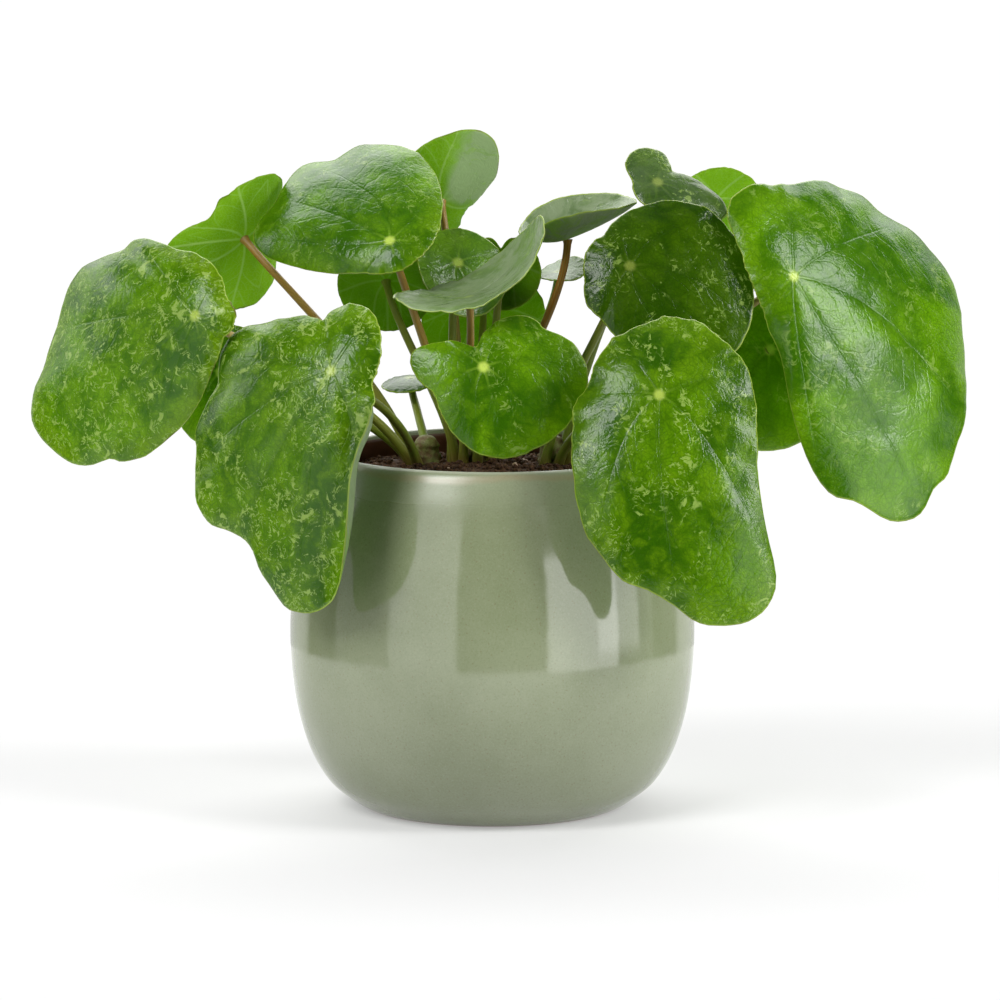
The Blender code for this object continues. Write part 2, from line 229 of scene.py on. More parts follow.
class Tree:
    """A shader node tree, with short ways to add the nodes used here."""

    def __init__(self, owner):
        owner.use_nodes = True
        self.nodes = owner.node_tree.nodes
        self.links = owner.node_tree.links
        self.nodes.clear()

    def add(self, kind, inputs=(), **settings):
        made = self.nodes.new(kind)
        for key, value in settings.items():
            setattr(made, key, value)
        for key, value in dict(inputs).items():
            self.feed(made.inputs[key], value)
        return made

    def feed(self, socket, value):
        """Links the socket to an output, or sets its value, where a colour may leave out its alpha."""
        if isinstance(value, bpy.types.NodeSocket):
            self.links.new(value, socket)
        elif isinstance(value, (int, float)) and socket.type in ("RGBA", "VECTOR"):
            socket.default_value = (value,) * len(socket.default_value)
        elif not isinstance(value, (int, float)) and len(value) == 3 and socket.type == "RGBA":
            socket.default_value = (*value, 1)
        else:
            socket.default_value = value

    def maths(self, operation, *values):
        return self.add("ShaderNodeMath", enumerate(values), operation=operation).outputs[0]

    def vector_maths(self, operation, *values):
        return self.add("ShaderNodeVectorMath", enumerate(values), operation=operation).outputs[0]

    def length(self, vector):
        return self.add("ShaderNodeVectorMath", {0: vector}, operation="LENGTH").outputs["Value"]

    def scaled(self, vector, by):
        return self.add("ShaderNodeVectorMath", {"Vector": vector, "Scale": by}, operation="SCALE").outputs[0]

    def ramp(self, value, start, end, low=0.0, high=1.0, smooth=True):
        """From low to high as value goes from start to end."""
        made = self.add("ShaderNodeMapRange", {0: value, 1: start, 2: end, 3: low, 4: high})
        made.interpolation_type = "SMOOTHSTEP" if smooth else "LINEAR"
        made.clamp = True
        return made.outputs[0]

    def mix(self, share, first, second):
        made = self.add("ShaderNodeMix", data_type="RGBA", blend_type="MIX")
        for socket, value in zip((made.inputs[0], made.inputs[6], made.inputs[7]), (share, first, second)):
            self.feed(socket, value)
        return made.outputs[2]

    def noise(self, vector, scale, detail=2.0, roughness=0.5, distortion=0.0):
        return self.add(
            "ShaderNodeTexNoise",
            {"Vector": vector, "Scale": scale, "Detail": detail, "Roughness": roughness, "Distortion": distortion},
        ).outputs[0]

    def cells(self, vector, scale, feature="F1"):
        return self.add("ShaderNodeTexVoronoi", {"Vector": vector, "Scale": scale}, feature=feature).outputs[0]

    def attribute(self, name, output="Vector"):
        return self.add("ShaderNodeAttribute", attribute_name=name).outputs[output]

    def split(self, vector):
        return self.add("ShaderNodeSeparateXYZ", {0: vector}).outputs

    def joined(self, x, y, z):
        return self.add("ShaderNodeCombineXYZ", {0: x, 1: y, 2: z}).outputs[0]

    def bump(self, height, distance, strength):
        inputs = {"Height": height, "Distance": distance, "Strength": strength}
        return self.add("ShaderNodeBump", inputs).outputs[0]

    def principled(self, **inputs):
        """A Principled BSDF. Each input is named as its socket, with _ for a space."""
        named = {key.replace("_", " "): value for key, value in inputs.items()}
        return self.add("ShaderNodeBsdfPrincipled", named).outputs[0]

    def finish(self, shader, kind="ShaderNodeOutputMaterial"):
        self.add(kind, {"Surface": shader})


def new_material(name):
    made = bpy.data.materials.new(name)
    return made, Tree(made)


# ---------------------------------------------------------------- materials


# Linear colours of the blades.
DEEP_GREEN, LEAF_GREEN, LIGHT_GREEN = (0.032, 0.110, 0.001), (0.115, 0.27, 0.002), (0.20, 0.39, 0.003)
SHADOW_GREEN, NET_GREEN = (0.028, 0.10, 0.001), (0.020, 0.075, 0.001)
MARGIN_YELLOW, VEIN_YELLOW, HUB_YELLOW = (0.21, 0.33, 0.008), (0.24, 0.42, 0.03), (0.50, 0.66, 0.10)
# The second colour on the next line is a painted highlight, the pale sheen of a glossy blade, not a colour of the leaf.
SPECKLE, PAINTED_SHEEN = (0.36, 0.51, 0.11), (0.29, 0.37, 0.21)
RIM_YELLOW, RIM_BROWN = (0.38, 0.50, 0.06), (0.16, 0.10, 0.03)
UNDER_DEEP, UNDER_LIGHT = (0.12, 0.25, 0.006), (0.20, 0.36, 0.012)
UNDER_VEIN, UNDER_NET = (0.36, 0.48, 0.15), (0.33, 0.46, 0.13)
# The light that comes through a blade, by the side that shows it.
UPPER_GLOW, UNDER_GLOW = (0.30, 0.60, 0.01), (0.46, 0.80, 0.01)
UPPER_TONE = 1.3  # the lightest green of an upper side; only an under side glows beyond it
# Fine relief of the blades in mm, for the bump: sunken on the upper side and raised below, but for the grain.
LINE_RELIEF, SIDE_VEIN_RELIEF, NET_RELIEF, FINE_NET_RELIEF, GRAIN_RELIEF = 0.08, 0.05, 0.05, 0.025, 0.03


def blade_veins(t):
    """How far from the nearest main vein: as a share of the gap between two veins, and in mm."""
    uv = t.split(t.add("ShaderNodeUVMap", uv_map="veins").outputs[0])
    along = t.maths("SUBTRACT", uv[0], t.maths("ROUND", uv[0]))
    away = t.maths("MULTIPLY", t.maths("ABSOLUTE", along), uv[1])
    return along, away


def blade_material(name, under):
    """The material of one side of the blades. Its lengths are in mm, from the attribute "flat"."""
    made, t = new_material(name)
    x, y, edge = t.split(t.attribute("flat"))
    speckle, yellow, bloom = t.split(t.attribute("habit"))
    tone = t.attribute("tone", "Fac")
    seed = t.attribute("seed", "Fac")
    place = t.joined(x, y, seed)
    radius = t.length(t.joined(x, y, 0.0))
    along, away = blade_veins(t)
    inside = t.ramp(edge, 3.0, 22.0)

    drift = t.add("ShaderNodeTexNoise", {"Vector": place, "Scale": 0.12, "Detail": 2.0}).outputs["Color"]
    warped = t.vector_maths("ADD", place, t.scaled(drift, 6.0))
    broad = t.noise(place, 0.035, 2.0, 0.5, 0.6)
    middle = t.noise(place, 0.13, 4.0, 0.6, 0.8)

    # Veins: a thin line along each main vein, then arching side veins, then a fine net.
    line = t.ramp(away, 0.15, 0.7, 1.0, 0.0)
    valley = t.ramp(away, 0.0, 3.2, 1.0, 0.0)
    arch = t.maths("ADD", t.maths("DIVIDE", radius, 9.0), t.maths("MULTIPLY", t.maths("ABSOLUTE", along), -2.6))
    arch = t.maths("ADD", arch, t.maths("MULTIPLY", t.noise(place, 0.09, 1.0), 0.9))
    arch = t.maths("ABSOLUTE", t.maths("SUBTRACT", t.maths("FRACT", arch), 0.5))
    side_vein = t.maths("MULTIPLY", t.ramp(arch, 0.0, 0.09, 1.0, 0.0), t.ramp(radius, 6.0, 16.0))
    net = t.cells(warped, 0.30, "DISTANCE_TO_EDGE")
    fine_net = t.cells(warped, 0.75, "DISTANCE_TO_EDGE")
    grain = t.noise(place, 1.5, 3.0, 0.6, 0.4)

    if under:
        base = t.mix(t.ramp(broad, 0.35, 0.65), UNDER_DEEP, UNDER_LIGHT)
        base = t.mix(t.maths("MULTIPLY", line, 0.6), base, UNDER_VEIN)
        base = t.mix(t.maths("MULTIPLY", side_vein, 0.35), base, UNDER_NET)
        base = t.mix(t.ramp(fine_net, 0.0, 0.10, 0.25, 0.0), base, UNDER_NET)
        glow, share, rough, specular = UNDER_GLOW, 0.55, 0.5, 0.10
    else:
        base = t.mix(t.ramp(broad, 0.36, 0.64), DEEP_GREEN, LEAF_GREEN)
        uneven = t.ramp(speckle, 0.1, 0.9, 0.35, 1.0)
        base = t.mix(t.maths("MULTIPLY", t.ramp(middle, 0.42, 0.66, 0.0, 0.6), uneven), base, LIGHT_GREEN)
        base = t.mix(t.maths("MULTIPLY", t.ramp(middle, 0.30, 0.45, 0.5, 0.0), uneven), base, SHADOW_GREEN)
        toward_edge = t.maths("MULTIPLY", t.ramp(edge, 1.0, 14.0, 1.0, 0.0), t.ramp(broad, 0.35, 0.55, 0.2, 1.0))
        base = t.mix(t.maths("MULTIPLY", toward_edge, yellow), base, MARGIN_YELLOW)
        base = t.mix(t.maths("MULTIPLY", valley, t.maths("MULTIPLY", inside, 0.45)), base, SHADOW_GREEN)

        # Speckles: thin crooked streaks and small dots, gathered in patches.
        patch = t.noise(place, 0.06, 3.0, 0.6, 0.8)
        patch = t.ramp(t.maths("ADD", patch, t.maths("MULTIPLY", speckle, 0.17)), 0.56, 0.66)
        worm = t.maths("ABSOLUTE", t.maths("SUBTRACT", t.noise(warped, 0.17, 3.0, 0.55, 1.8), 0.5))
        worm = t.ramp(worm, 0.008, 0.030, 1.0, 0.0)
        broken = t.ramp(t.noise(place, 0.30, 3.0, 0.6), 0.46, 0.54)
        worm = t.maths("MULTIPLY", worm, broken)
        blot = t.ramp(t.noise(warped, 0.20, 5.0, 0.62, 1.2), 0.585, 0.62)
        dots = t.ramp(t.cells(place, 0.24), 0.05, 0.11, 1.0, 0.0)
        dots = t.maths("MULTIPLY", dots, t.ramp(t.noise(place, 0.10), 0.46, 0.56))
        streaks = t.maths("MULTIPLY", t.maths("MAXIMUM", worm, blot), patch)
        marks = t.maths("MAXIMUM", streaks, t.maths("MULTIPLY", dots, 0.7))
        marks = t.maths("MULTIPLY", marks, t.ramp(speckle, 0.0, 1.0, 0.35, 0.85))

        base = t.mix(t.ramp(fine_net, 0.0, 0.16, 0.32, 0.0), base, NET_GREEN)
        base = t.mix(t.ramp(net, 0.0, 0.10, 0.28, 0.0), base, NET_GREEN)
        near = t.ramp(radius, 2.5, 9.0, 1.0, 0.0)
        base = t.mix(t.maths("MULTIPLY", line, t.maths("MULTIPLY", near, 0.35)), base, VEIN_YELLOW)
        base = t.mix(t.ramp(radius, 0.8, 2.6, 1.0, 0.0), base, HUB_YELLOW)
        glow, share, rough, specular = UPPER_GLOW, 0.22, t.ramp(middle, 0.3, 0.7, 0.15, 0.24), 0.35

    # Tone is partly each leaf's own green and partly painted light: darker on shaded leaves, lighter on backlit under
    # sides.
    base = t.scaled(base, tone if under else t.maths("MINIMUM", tone, UPPER_TONE))
    if not under:
        base = t.mix(marks, base, SPECKLE)
    # Painted sheen: a pale grey-green laid into the colour in streaky patches as a glossy highlight, lighter on light
    # leaves.
    painted_sheen_mix = t.maths("MULTIPLY", bloom, t.ramp(t.noise(warped, 0.10, 4.0, 0.6, 1.0), 0.36, 0.62, 0.45, 1.0))
    base = t.mix(painted_sheen_mix, base, t.scaled(PAINTED_SHEEN, t.ramp(tone, 1.0, 1.8, 1.0, 1.7)))
    brown = t.ramp(t.noise(place, 0.06, 2.0), 0.52, 0.62)
    rim = t.mix(t.maths("MULTIPLY", brown, t.ramp(yellow, 0.0, 0.5)), RIM_YELLOW, RIM_BROWN)
    base = t.mix(t.ramp(edge, 0.10, 0.45, 0.7, 0.0), base, rim)

    way = 1.0 if under else -1.0
    height = t.maths("MULTIPLY", t.maths("MULTIPLY", line, inside), LINE_RELIEF * way)
    side_veins = t.maths("MULTIPLY", t.maths("MULTIPLY", side_vein, inside), SIDE_VEIN_RELIEF * way)
    height = t.maths("ADD", height, side_veins)
    height = t.maths("ADD", height, t.ramp(net, 0.0, 0.35, NET_RELIEF * way, 0.0))
    height = t.maths("ADD", height, t.ramp(fine_net, 0.0, 0.30, FINE_NET_RELIEF * way, 0.0))
    height = t.maths("ADD", height, t.maths("MULTIPLY", grain, GRAIN_RELIEF))
    normal = t.bump(height, MM, 0.9)
    shiny = t.principled(Base_Color=base, Roughness=rough, Normal=normal, IOR=1.5, Specular_IOR_Level=specular)
    through = t.mix(t.ramp(painted_sheen_mix, 0.0, 1.0, 0.75, 0.0, False), base, glow)
    lit = t.add("ShaderNodeBsdfTranslucent", {"Color": through, "Normal": normal}).outputs[0]
    t.finish(t.add("ShaderNodeMixShader", {0: share, 1: shiny, 2: lit}).outputs[0])
    return made


# The linear colours of a petiole's foot and tip.
PETIOLE_TINTS = {
    "green": ((0.20, 0.29, 0.025), (0.25, 0.29, 0.035)),
    "tan": ((0.25, 0.29, 0.03), (0.44, 0.30, 0.07)),
    "brown": ((0.22, 0.25, 0.025), (0.34, 0.18, 0.035)),
    "red": ((0.26, 0.25, 0.025), (0.36, 0.15, 0.022)),
    "pale": ((0.20, 0.32, 0.04), (0.34, 0.48, 0.12)),
}


def petiole_material(name, low, high):
    """The material of the stalks of one tint, from its colour at the foot to the one at the tip."""
    made, t = new_material(name)
    along, turn, seed = t.split(t.attribute("stalk"))
    # Streaks run lengthwise, so the pattern is stretched along the stalk.
    place = t.joined(t.maths("COSINE", turn), t.maths("SINE", turn), t.maths("ADD", along, seed))
    streak = t.noise(t.vector_maths("MULTIPLY", place, (2.2, 2.2, 3.0)), 1.0, 4.0, 0.6)
    base = t.mix(t.ramp(along, 0.12, 0.75), low, high)
    base = t.mix(t.ramp(streak, 0.40, 0.70, 0.0, 0.6), base, (0.30, 0.30, 0.09))
    base = t.mix(t.ramp(t.noise(place, 14.0, 2.0), 0.60, 0.72, 0.0, 0.5), base, (0.12, 0.05, 0.015))
    base = t.mix(t.ramp(along, 0.0, 0.08, 0.6, 0.0), base, (0.22, 0.12, 0.04))
    wide = t.vector_maths("MULTIPLY", place, (5.0, 5.0, 5.0))
    ridges = t.add("ShaderNodeTexNoise", {"Vector": wide, "Scale": 1.0, "Detail": 3.0}).outputs[0]
    normal = t.bump(ridges, 0.15 * MM, 0.8)
    t.finish(t.principled(Base_Color=base, Roughness=0.34, Normal=normal, Specular_IOR_Level=0.35))
    return made


def bark_material():
    made, t = new_material("crown_bark_fine")
    place = t.add("ShaderNodeTexCoord").outputs["Object"]
    patches = t.noise(place, 420.0, 5.0, 0.65)
    base = t.mix(t.ramp(patches, 0.35, 0.65), (0.16, 0.10, 0.035), (0.20, 0.22, 0.06))
    base = t.mix(t.ramp(t.cells(place, 900.0), 0.1, 0.3, 0.7, 0.0), base, (0.09, 0.045, 0.018))
    t.finish(t.principled(Base_Color=base, Roughness=0.6, Normal=t.bump(patches, 0.5 * MM, 0.9)))
    return made


def soil_material():
    made, t = new_material("potting_mix_fine")
    place = t.add("ShaderNodeTexCoord").outputs["Object"]
    lumps = t.noise(place, 500.0, 6.0, 0.7)
    crumb = t.cells(place, 900.0)
    base = t.mix(t.ramp(lumps, 0.35, 0.68), (0.040, 0.018, 0.009), (0.15, 0.075, 0.038))
    base = t.mix(t.ramp(t.noise(place, 1400.0, 3.0), 0.62, 0.70, 0.0, 0.7), base, (0.30, 0.17, 0.09))
    height = t.maths("ADD", lumps, t.maths("MULTIPLY", crumb, -0.6))
    rough = t.ramp(lumps, 0.3, 0.7, 0.7, 0.95)
    normal = t.bump(height, 1.0 * MM, 1.0)
    t.finish(t.principled(Base_Color=base, Roughness=rough, Specular_IOR_Level=0.2, Normal=normal))
    return made


def stone_material():
    made, t = new_material("grit")
    place = t.add("ShaderNodeTexCoord").outputs["Object"]
    grain = t.noise(place, 900.0, 5.0, 0.7)
    base = t.mix(t.ramp(grain, 0.35, 0.65), (0.36, 0.22, 0.13), (0.72, 0.54, 0.40))
    t.finish(t.principled(Base_Color=base, Roughness=0.75, Normal=t.bump(grain, 0.4 * MM, 0.8)))
    return made


def glaze_material():
    made, t = new_material("pot_glaze_fine")
    place = t.add("ShaderNodeTexCoord").outputs["Object"]
    height = t.maths("DIVIDE", t.split(place)[2], MM)
    cloud = t.noise(place, 26.0, 4.0, 0.6)
    fleck = t.noise(place, 1500.0, 3.0, 0.7)
    pin = t.cells(place, 520.0)
    base = t.mix(t.ramp(cloud, 0.3, 0.7), (0.235, 0.275, 0.150), (0.285, 0.325, 0.195))
    base = t.mix(t.ramp(fleck, 0.50, 0.75, 0.0, 0.35), base, (0.36, 0.40, 0.27))
    base = t.mix(t.ramp(fleck, 0.30, 0.48, 0.35, 0.0), base, (0.17, 0.20, 0.10))
    base = t.mix(t.ramp(pin, 0.10, 0.20, 0.35, 0.0), base, (0.20, 0.16, 0.08))
    # The glaze thins over the lip and shows the warm body through, and a painted highlight pales the top of the lip.
    # Heights are in mm.
    wander = t.maths("ADD", height, t.ramp(t.noise(place, 40.0, 3.0), 0.2, 0.8, -1.4, 1.4))
    break_line = t.maths("MULTIPLY", t.ramp(wander, 119.6, 121.2), t.ramp(wander, 121.8, 122.8, 1.0, 0.0))
    base = t.mix(t.maths("MULTIPLY", break_line, 0.4), base, (0.34, 0.26, 0.14))
    base = t.mix(t.ramp(height, 123.2, 123.9, 0.0, 0.8), base, (0.45, 0.47, 0.36))
    # Painted shade: the glaze is darker towards the foot, from about 66 mm down to 10 mm.
    base = t.scaled(base, t.ramp(height, 10, 66, 0.68, 0.9))
    # The wall inside is dark brown, and so is the foot's edge.
    inner = t.ramp(t.attribute("wall", "Fac"), 0.3, 0.7)
    brown = t.mix(t.ramp(cloud, 0.3, 0.7), (0.085, 0.030, 0.018), (0.15, 0.055, 0.030))
    base = t.mix(inner, base, brown)
    foot = t.ramp(height, 0.25, 0.6, 1.0, 0.0)
    base = t.mix(foot, base, (0.16, 0.075, 0.035))
    rough = t.maths("ADD", t.ramp(cloud, 0.3, 0.7, 0.07, 0.12), t.ramp(height, 104, 117, 0.0, 0.24))
    rough = t.mix(foot, rough, 0.7)
    ripple = t.maths("ADD", t.noise(place, 45.0, 2.0), t.maths("MULTIPLY", fleck, 0.02))
    normal = t.bump(ripple, 0.35 * MM, 0.6)
    t.finish(t.principled(Base_Color=base, Roughness=rough, Normal=normal, IOR=1.6, Specular_IOR_Level=0.8))
    return made


# ---------------------------------------------------------------- meshes


def new_piece(name, points, faces, materials, node):
    """A mesh object that stands for a CAD node and rides on the body."""
    mesh = bpy.data.meshes.new(name)
    mesh.from_pydata(np.asarray(points, float).tolist(), [], faces)
    for material in materials:
        mesh.materials.append(material)
    mesh.shade_smooth()
    made = bpy.data.objects.new(name, mesh)
    bpy.context.scene.collection.objects.link(made)
    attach(made, "root")
    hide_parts(node)
    return made


def set_attribute(mesh, name, kind, values):
    """A value at each point of the mesh, for its material to read."""
    made = mesh.attributes.new(name, kind, "POINT")
    made.data.foreach_set("vector" if kind == "FLOAT_VECTOR" else "value", np.asarray(values, np.float32).ravel())


def centre(node):
    """The middle of a CAD node's box."""
    low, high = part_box(node)
    return np.array((low + high) / 2)


def around(values, turn):
    """The value at each turn (0 to 1) on a smooth closed curve through evenly spaced values."""
    values = np.asarray(values, float)
    count = len(values)
    at = (np.asarray(turn, float) % 1) * count
    i = np.floor(at).astype(int)
    f = at - i
    before, here, after, beyond = (values[(i + k) % count] for k in (-1, 0, 1, 2))
    return here + 0.5 * f * (
        (after - before)
        + f * (2 * before - 5 * here + 4 * after - beyond)
        + f**2 * (3 * here - before - 3 * after + beyond)
    )


def along(points, steps):
    """A smooth open curve through the points, with so many steps between neighbours."""
    points = np.asarray(points, float)
    padded = np.vstack([2 * points[0] - points[1], points, 2 * points[-1] - points[-2]])
    curve = []
    for before, here, after, beyond in zip(padded, padded[1:], padded[2:], padded[3:]):
        for f in np.arange(steps) / steps:
            curve.append(
                here
                + 0.5 * f * (after - before)
                + 0.5 * f**2 * (2 * before - 5 * here + 4 * after - beyond)
                + 0.5 * f**3 * (3 * here - before - 3 * after + beyond)
            )
    return np.array([*curve, points[-1]])


def leaf_axes(face):
    """The way the upper side looks, the way to the tip and the way to the side of it, for a leaf's face."""
    azimuth, elevation, turn = (math.radians(angle) for angle in face)
    facing = np.array([math.sin(azimuth), -math.cos(azimuth), 0])
    up = np.array([0, 0, 1.0])
    normal = math.cos(elevation) * facing + math.sin(elevation) * up
    downhill = math.sin(elevation) * facing - math.cos(elevation) * up
    tip = math.cos(turn) * downhill + math.sin(turn) * np.cross(normal, downhill)
    return normal, tip, np.cross(normal, tip)


def fall_off(angle, middle, width, power):
    """From 1 at the middle angle to 0 well beyond width from it, either way round. Angles are in degrees."""
    off = (np.asarray(angle) - middle + 180) % 360 - 180
    return np.exp(-((off / width) ** power))


def margin(leaf, turn, nicks=()):
    """Radius of the blade's outline at each turn."""
    radius = around(leaf.outline, turn)
    for angle, depth, width in (*leaf.dents, *nicks):
        radius = radius - depth * fall_off(np.asarray(turn) * 360, angle, width, 2)
    return radius * MM


def blade_grid(leaf, turn, rings, steps, nicks=()):
    """Points of the blade's middle surface from the stalk, as rings x sectors x 3, without the stalk point."""
    normal, tip, side = leaf_axes(leaf.face)
    bend = np.radians(around(leaf.bend, turn))
    fraction = (np.arange(rings * steps) + 0.5) / (rings * steps)
    slope = np.outer(fraction, bend)
    for angle, width, curl, power in leaf.curl:
        curled = math.radians(curl) * fall_off(np.asarray(turn) * 360, angle, width, 4)
        slope = slope - np.outer(fraction**power, curled)
    length = margin(leaf, turn, nicks) / (rings * steps)
    out = (np.cumsum(np.cos(slope), axis=0) * length)[steps - 1 :: steps]
    down = (np.cumsum(np.sin(slope), axis=0) * length)[steps - 1 :: steps]
    ray = np.outer(np.cos(math.tau * turn), tip) + np.outer(np.sin(math.tau * turn), side)
    return out[:, :, None] * ray[None] - down[:, :, None] * normal


def stalk_point(leaf):
    """Where the petiole meets the blade, from the CAD box of the leaf."""
    sectors, rings = CAD_GRIDS[len(leaf.outline)]
    grid = blade_grid(leaf._replace(curl=()), np.arange(sectors) / sectors, rings, 8).reshape(-1, 3)
    points = np.vstack([np.zeros(3), grid])
    return centre(f"{leaf.name}_leaf") - (points.min(0) + points.max(0)) / 2


def vein_map(leaf, angle, fraction, radius):
    """For each point: its place between the main veins, whole at a vein, and the mm that one step there is wide."""
    veins = leaf.veins or VEINS
    count = len(veins)
    places = np.array([-0.5, *range(count), count - 0.5])
    place = np.empty(radius.shape)
    width = np.empty(radius.shape)
    for row, f in enumerate(fraction):
        bent = [end + (start - end) * (1 - f) ** 1.6 for start, end in veins]
        stops = np.array([-180, *bent, 180])
        place[row] = np.interp(angle, stops, places)
        slot = np.clip(np.searchsorted(stops, angle, side="right") - 1, 0, len(stops) - 2)
        step = np.radians(np.diff(stops) / np.diff(places))
        width[row] = step[slot] * radius[row]
    return place, width


def fractal(x, y, z, octaves=2):
    """Fractal noise at each point."""
    flat = np.stack(np.broadcast_arrays(x, y, z), -1).reshape(-1, 3)
    return np.array([noise.fractal(Vector(p), 0.9, 2.0, octaves) for p in flat]).reshape(np.shape(x))


def blade(leaf, seed, materials):
    """The fine blade of a leaf: an upper and an under sheet that meet in a thin rim."""
    sectors, rings = FINE_GRIDS[len(leaf.outline)]
    angle = -180 + 360 * np.arange(sectors) / sectors
    turn = angle / 360
    grid = blade_grid(leaf, turn, rings, 3, leaf.nicks)
    fraction = (np.arange(rings) + 1) / rings
    for at, spread, amount in leaf.push:
        grid = grid + np.outer(fraction**2, amount * MM * fall_off(angle, at, spread, 4))[:, :, None] * FRONT
    down, aside = (math.tan(math.radians(lean)) for lean in leaf.lean)
    grid = grid + (grid @ (down * -RISE + aside * ASIDE))[:, :, None] * FRONT
    length = margin(leaf, turn, leaf.nicks) / MM
    radius = np.outer(fraction, length)
    flat_x = radius * np.cos(np.radians(angle))
    flat_y = radius * np.sin(np.radians(angle))

    # Upward normal of the smooth blade at each point.
    before = np.vstack([np.zeros((1, sectors, 3)), grid[:-1]])
    outward = grid - before
    onward = np.roll(grid, -1, axis=1) - np.roll(grid, 1, axis=1)
    normal = np.cross(outward, onward)
    normal /= np.linalg.norm(normal, axis=2, keepdims=True)

    place, width = vein_map(leaf, angle, fraction, radius)
    away = np.abs(place - np.round(place)) * width
    inner = np.clip((radius - 3) / 9, 0, 1) * (1 - 0.6 * fraction[:, None] ** 2)
    large = min(length.mean() / LARGE_RADIUS, 1.2)
    puckers = fractal(flat_x / PUCKER_LENGTH, flat_y / PUCKER_LENGTH, seed * 5.3)
    relief = -VEIN_SINK * large * np.exp(-((away / VEIN_WIDTH) ** 2)) * inner
    relief += PUCKER * large * np.clip(radius / 25, 0, 1) * puckers
    relief += WRINKLE * inner * fractal(flat_x / WRINKLE_LENGTH, flat_y / WRINKLE_LENGTH, seed * 3.1)
    scallop = fractal(7 * np.cos(np.radians(angle)), 7 * np.sin(np.radians(angle)), seed * 3.7, 3)
    grid = grid * (1 + SCALLOP * large * np.outer(fraction**4, scallop) / length)[:, :, None]
    wave = fractal(4.5 * np.cos(np.radians(angle)), 4.5 * np.sin(np.radians(angle)), seed * 7.7)
    relief += WAVE * large * fraction[:, None] ** 5 * wave[None, :]
    relief *= MM

    half = BLADE_THICKNESS / 2 * (1 - 0.45 * fraction**6)[:, None]
    stalk = stalk_point(leaf)
    top_normal = leaf_axes(leaf.face)[0]
    upper = stalk + grid + normal * (relief + half)[:, :, None]
    lower = stalk + grid + normal * (relief - half)[:, :, None]
    outer = outward[-1] / np.linalg.norm(outward[-1], axis=1, keepdims=True)
    rim = stalk + grid[-1] + normal[-1] * relief[-1][:, None] + outer * RIM_WIDTH
    points = np.vstack(
        [
            stalk + top_normal * BLADE_THICKNESS / 2, upper.reshape(-1, 3), rim,
            stalk - top_normal * BLADE_THICKNESS / 2, lower.reshape(-1, 3),
        ]
    )
    under = 1 + (rings + 1) * sectors
    faces, slots, corners = [], [], []
    place_at = np.hstack([place, (len(leaf.veins or VEINS) - 0.5) * np.ones((rings, 1))])
    width_at = np.hstack([width, width[:, :1]])

    def add(face, material, spots):
        faces.append(face)
        slots.append(material)
        corners.extend(spots)

    for k in range(sectors):
        after = (k + 1) % sectors
        spot = [((place_at[r, k], width_at[r, k]), (place_at[r, k + 1], width_at[r, k + 1])) for r in range(rings)]
        hub = ((place_at[0, k] + place_at[0, k + 1]) / 2, 0.0)
        add((0, 1 + k, 1 + after), 0, (hub, *spot[0]))
        add((under, under + 1 + after, under + 1 + k), 1, (hub, spot[0][1], spot[0][0]))
        for r in range(rings - 1):
            a, b = 1 + r * sectors, 1 + (r + 1) * sectors
            add((a + k, b + k, b + after, a + after), 0, (spot[r][0], spot[r + 1][0], spot[r + 1][1], spot[r][1]))
            a, b = under + a, under + b
            add((a + after, b + after, b + k, a + k), 1, (spot[r][1], spot[r + 1][1], spot[r + 1][0], spot[r][0]))
        a, b, c = 1 + (rings - 1) * sectors, 1 + rings * sectors, under + 1 + (rings - 1) * sectors
        last = spot[rings - 1]
        add((a + k, b + k, b + after, a + after), 0, (last[0], last[0], last[1], last[1]))
        add((b + k, c + k, c + after, b + after), 1, (last[0], last[0], last[1], last[1]))

    mesh = new_piece(f"{leaf.name}_blade", points, faces, materials, f"{leaf.name}_leaf").data
    mesh.polygons.foreach_set("material_index", np.array(slots, np.int32))
    mesh.uv_layers.new(name="veins").uv.foreach_set("vector", np.array(corners, np.float32).ravel())
    edge = (1 - fraction)[:, None] * length
    sheet = np.stack([flat_x, flat_y, edge], -1).reshape(-1, 3)
    hub = [[0, 0, length.mean()]]
    set_attribute(mesh, "flat", "FLOAT_VECTOR", np.vstack([hub, sheet, sheet[-sectors:], hub, sheet]))
    count = len(points)
    habit = np.tile(leaf.habit[:3], (count, 1))
    # The painted sheen is kept to its stretch of the blade, on the under side alone or on both sides.
    if leaf.bloom:
        at, spread, sides = leaf.bloom
        share = (fall_off(angle, at, spread, 4)[None, :] * np.clip(radius / 8, 0, 1)).ravel()
        above = share if sides == "both" else 0 * share
        habit[:, 2] *= np.concatenate([[0], above, share[-sectors:], [0], share])
    set_attribute(mesh, "habit", "FLOAT_VECTOR", habit)
    set_attribute(mesh, "tone", "FLOAT", np.full(count, leaf.habit[3]))
    set_attribute(mesh, "seed", "FLOAT", np.full(count, seed * 61.0))


def bezier(a, b, c, d, count):
    """Points along a cubic Bezier curve."""
    t = np.linspace(0, 1, count)[:, None]
    return (1 - t) ** 3 * a + 3 * (1 - t) ** 2 * t * b + 3 * (1 - t) * t**2 * c + t**3 * d


